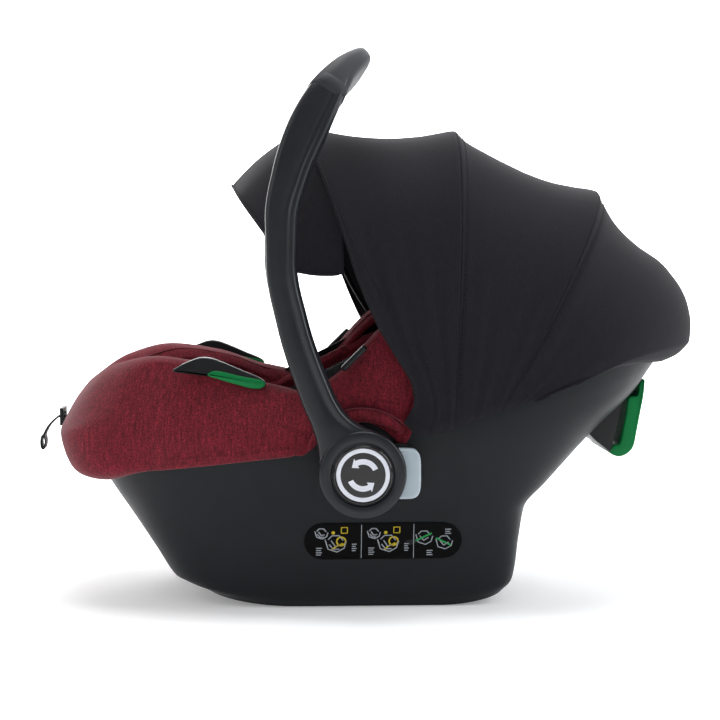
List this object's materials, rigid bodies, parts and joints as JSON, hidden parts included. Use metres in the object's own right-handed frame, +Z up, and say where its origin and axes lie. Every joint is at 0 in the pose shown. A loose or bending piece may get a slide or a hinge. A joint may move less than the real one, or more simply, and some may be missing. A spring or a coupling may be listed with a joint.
{
  "type": "infant car seat",
  "caption": "Rearward-facing infant car seat with a rocker shell, padded melange cover, pivoting carry handle, folding three-bow sun canopy with a visor, and green belt guides.",
  "frame": {"origin": "On the floor, in the middle of the flat of the rocker base, straight below the axis of the carry handle", "axes": "+X towards the child's head, +Y towards the child's right, +Z up"},
  "size_m": [0.6936, 0.4554, 0.5523],
  "materials": {
    "shell_plastic": "anthracite polypropylene, fine matt grain",
    "tray_plastic": "black polypropylene, matt",
    "steel": "zinc-plated steel",
    "foam": "moulded bead foam",
    "red_cloth": "red and black melange knit",
    "dark_cloth": "black knit",
    "canopy_cloth": "black plain-woven polyester",
    "webbing": "black polyester webbing",
    "handle_plastic": "black polyamide, satin",
    "grip_rubber": "soft-touch rubber",
    "cap_plastic": "black gloss with a white ring",
    "button_plastic": "light blue-grey, satin",
    "marker_green": "green belt marker",
    "button_red": "red push button",
    "label_film": "printed film"
  },
  "bodies": {
    "seat_shell": {"outer_shell": "shell_plastic", "pivot_boss_left": "shell_plastic", "pivot_boss_right": "shell_plastic", "latch_tray_front": "tray_plastic", "latch_tray_rear": "tray_plastic", "adjuster_bezel": "tray_plastic", "strap_exit": "tray_plastic", "rear_belt_bracket": "tray_plastic", "front_belt_guide_left": "tray_plastic", "front_belt_guide_right": "tray_plastic", "rim_clip_left": "tray_plastic", "rim_clip_right": "tray_plastic", "canopy_pin_left": "tray_plastic", "canopy_pin_right": "tray_plastic", "lock_gear_left": "tray_plastic", "lock_gear_right": "tray_plastic", "buckle_housing": "tray_plastic", "latch_bar_front": "steel", "latch_bar_rear": "steel", "pivot_bolt_left": "steel", "pivot_bolt_right": "steel", "buckle_tongue_left": "steel", "buckle_tongue_right": "steel", "foam_liner": "foam", "seat_pad": "red_cloth", "seat_cover": "red_cloth", "cover_arch_left": "red_cloth", "cover_arch_right": "red_cloth", "shoulder_pad_left": "dark_cloth", "shoulder_pad_right": "dark_cloth", "canopy_cloth_rear": "canopy_cloth", "harness_strap_left": "webbing", "harness_strap_right": "webbing", "crotch_strap": "webbing", "pull_strap": "webbing", "front_belt_marker_left": "marker_green", "front_belt_marker_right": "marker_green", "rear_belt_marker": "marker_green", "label": "label_film"},
    "handle": {"carry_handle": "handle_plastic", "grip_overlay": "grip_rubber", "hub_cap_left": "cap_plastic", "hub_cap_right": "cap_plastic"},
    "left_button": {"release_button_left": "button_plastic"},
    "right_button": {"release_button_right": "button_plastic"},
    "rear_bow": {"bow_rear": "tray_plastic"},
    "middle_bow": {"bow_middle": "tray_plastic", "canopy_cloth_middle": "canopy_cloth"},
    "front_bow": {"bow_front": "tray_plastic", "canopy_cloth_front": "canopy_cloth"},
    "visor": {"visor_cloth": "canopy_cloth"},
    "head_rest": {"headrest": "red_cloth"},
    "buckle_push": {"buckle_button": "button_red"},
    "adjuster_push": {"adjuster_button": "tray_plastic"}
  },
  "joints": [
    {"name": "handle_pivot", "type": "hinge", "parent": "seat_shell", "child": "handle", "pos_m": [0, 0, 0.143], "axis": [0, 1, 0], "range_deg": [-100, 28]},
    {"name": "release_left", "type": "slide", "parent": "seat_shell", "child": "left_button", "axis": [0, 1, 0], "range_m": [0, 0.005], "stiffness_N_per_m": 400, "springref_m": -0.004},
    {"name": "release_right", "type": "slide", "parent": "seat_shell", "child": "right_button", "axis": [0, -1, 0], "range_m": [0, 0.005], "stiffness_N_per_m": 400, "springref_m": -0.004},
    {"name": "canopy_rear_fold", "type": "hinge", "parent": "seat_shell", "child": "rear_bow", "pos_m": [0.09, 0, 0.197], "axis": [0, 1, 0], "range_deg": [0, 26], "deforming": ["canopy_cloth_rear"]},
    {"name": "canopy_middle_fold", "type": "hinge", "parent": "rear_bow", "child": "middle_bow", "pos_m": [0.09, 0, 0.197], "axis": [0, 1, 0], "range_deg": [0, 24], "deforming": ["canopy_cloth_middle"]},
    {"name": "canopy_front_fold", "type": "hinge", "parent": "middle_bow", "child": "front_bow", "pos_m": [0.09, 0, 0.197], "axis": [0, 1, 0], "range_deg": [0, 22], "deforming": ["canopy_cloth_front"]},
    {"name": "visor_fold", "type": "hinge", "parent": "front_bow", "child": "visor", "pos_m": [-0.014, 0, 0.336], "axis": [0, 1, 0], "range_deg": [0, 30], "deforming": ["visor_cloth"]},
    {"name": "headrest_height", "type": "slide", "parent": "seat_shell", "child": "head_rest", "axis": [0.7606, 0, 0.6492], "range_m": [0, 0.025]},
    {"name": "buckle_release", "type": "slide", "parent": "seat_shell", "child": "buckle_push", "axis": [-0.0919, 0, -0.9958], "range_m": [0, 0.004], "stiffness_N_per_m": 500, "springref_m": -0.004},
    {"name": "adjuster_release", "type": "slide", "parent": "seat_shell", "child": "adjuster_push", "axis": [-0.6157, 0, -0.788], "range_m": [0, 0.0015], "stiffness_N_per_m": 600, "springref_m": -0.004}
  ],
  "couplings": [
    {"joint": "canopy_middle_fold", "follows": "canopy_rear_fold", "ratio": 0.9231},
    {"joint": "canopy_front_fold", "follows": "canopy_rear_fold", "ratio": 0.8462}
  ]
}
